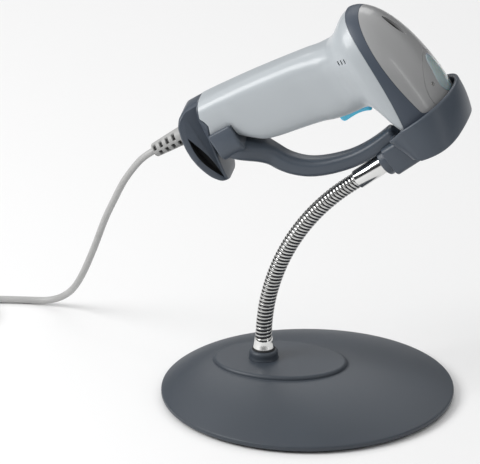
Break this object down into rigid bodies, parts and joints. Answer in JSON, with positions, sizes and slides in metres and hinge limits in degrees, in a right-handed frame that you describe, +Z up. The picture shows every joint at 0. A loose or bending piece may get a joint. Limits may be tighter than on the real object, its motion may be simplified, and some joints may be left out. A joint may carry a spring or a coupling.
{
  "type": "handheld barcode scanner",
  "caption": "Pistol-grip handheld barcode scanner with a blue trigger, resting nose-down in a hands-free stand with a chrome gooseneck and a round weighted foot.",
  "frame": {"origin": "centre of the round foot's underside, on the surface it stands on", "axes": "+Z up, +X toward the side that the scanner's nose points to, Y across the scanner"},
  "size_m": [0.4328, 0.2132, 0.2731],
  "materials": {
    "foot_plastic": "fine matte moulded plastic",
    "holder_plastic": "satin moulded plastic",
    "pad_rubber": "dull rubber",
    "black_rubber": "dull rubber",
    "steel": "zinc-plated steel",
    "cast_weight": "bare cast plate",
    "chrome": "polished",
    "brass": "turned",
    "shell_grey": "satin light grey moulded plastic",
    "cover_grey": "glossy grey moulded plastic",
    "band_rubber": "soft-touch overmould",
    "cap_plastic": "satin moulded plastic",
    "trigger_blue": "glossy sky-blue moulded plastic",
    "window_dark": "dark red tinted window",
    "lamp_white": "translucent white",
    "board_green": "printed circuit board",
    "black_plastic": "black moulded plastic",
    "cable_grey": "smooth grey cable jacket",
    "tie_black": "woven hook-and-loop tie"
  },
  "bodies": {
    "foot": {"base_cover": "foot_plastic", "bottom_plate": "steel", "base_pad": "pad_rubber", "base_screws": "steel", "weight_plate": "cast_weight", "neck_nut": "steel", "neck_washer": "steel", "neck_collar": "foot_plastic", "neck_seal": "black_rubber", "lower_ferrule": "chrome", "neck_coil_1": "chrome"},
    "neck_2": {"neck_coil_2": "chrome"},
    "neck_3": {"neck_coil_3": "chrome"},
    "neck_4": {"neck_coil_4": "chrome"},
    "neck_5": {"neck_coil_5": "chrome"},
    "neck_6": {"neck_coil_6": "chrome"},
    "neck_7": {"neck_coil_7": "chrome"},
    "holder": {"neck_coil_8": "chrome", "upper_ferrule": "chrome", "ring_insert": "brass", "set_screw": "steel", "nose_ring": "holder_plastic", "handle_rest": "holder_plastic", "holder_arm": "holder_plastic"},
    "scanner": {"top_cover": "cover_grey", "head_bumper": "band_rubber", "nose_bezel": "band_rubber", "scan_window": "window_dark", "status_window": "lamp_white", "housing_left": "shell_grey", "housing_right": "shell_grey", "housing_screws": "steel", "butt_cap": "cap_plastic", "trigger_pin": "steel", "trigger_spring": "steel", "trigger_switch": "black_plastic", "main_board": "board_green", "board_screws": "steel", "engine_frame": "black_plastic", "imaging_lens": "black_plastic", "sensor_board": "board_green", "light_bar": "board_green", "beeper": "black_plastic", "status_light": "lamp_white", "cover_screws": "steel", "cable_socket": "black_plastic", "cable_plug": "lamp_white", "harness": "cable_grey", "strain_relief": "cable_grey", "cord": "cable_grey", "cord_coil": "cable_grey", "cord_tail": "cable_grey", "cord_tie": "tie_black", "usb_plug": "cable_grey", "usb_shell": "steel"},
    "trigger": {"trigger": "trigger_blue"}
  },
  "joints": [
    {"name": "neck_nod_1", "type": "hinge", "parent": "foot", "child": "neck_2", "pos_m": [-0.02786, 0, 0.05502], "axis": [0, 1, 0], "range_deg": [-8, 8]},
    {"name": "neck_sway_1", "type": "hinge", "parent": "neck_2", "child": "neck_3", "pos_m": [-0.02476, 0, 0.07179], "axis": [0.9704, 0, -0.2414], "range_deg": [-7, 7]},
    {"name": "neck_nod_2", "type": "hinge", "parent": "neck_3", "child": "neck_4", "pos_m": [-0.01964, 0, 0.08806], "axis": [0, 1, 0], "range_deg": [-8, 8]},
    {"name": "neck_sway_2", "type": "hinge", "parent": "neck_4", "child": "neck_5", "pos_m": [-0.01259, 0, 0.10359], "axis": [0.8835, 0, -0.4685], "range_deg": [-7, 7]},
    {"name": "neck_nod_3", "type": "hinge", "parent": "neck_5", "child": "neck_6", "pos_m": [-0.00369, 0, 0.11814], "axis": [0, 1, 0], "range_deg": [-8, 8]},
    {"name": "neck_sway_3", "type": "hinge", "parent": "neck_6", "child": "neck_7", "pos_m": [0.0069, 0, 0.13151], "axis": [0.7442, 0, -0.6679], "range_deg": [-7, 7]},
    {"name": "neck_nod_4", "type": "hinge", "parent": "neck_7", "child": "holder", "pos_m": [0.01905, 0, 0.14348], "axis": [0, 1, 0], "range_deg": [-8, 8]},
    {"name": "scanner_lift", "type": "slide", "parent": "holder", "child": "scanner", "axis": [-0.5446, 0, 0.8387], "range_m": [0, 0.09]},
    {"name": "trigger_pull", "type": "hinge", "parent": "scanner", "child": "trigger", "pos_m": [0.03706, 0, 0.21662], "axis": [0, 1, 0], "range_deg": [0, 5], "stiffness_Nm_per_rad": 0.3, "springref_deg": -3.44}
  ],
  "couplings": [
    {"joint": "neck_nod_2", "follows": "neck_nod_1", "ratio": 1},
    {"joint": "neck_sway_2", "follows": "neck_sway_1", "ratio": 1},
    {"joint": "neck_nod_3", "follows": "neck_nod_1", "ratio": 1},
    {"joint": "neck_sway_3", "follows": "neck_sway_1", "ratio": 1},
    {"joint": "neck_nod_4", "follows": "neck_nod_1", "ratio": 1}
  ]
}
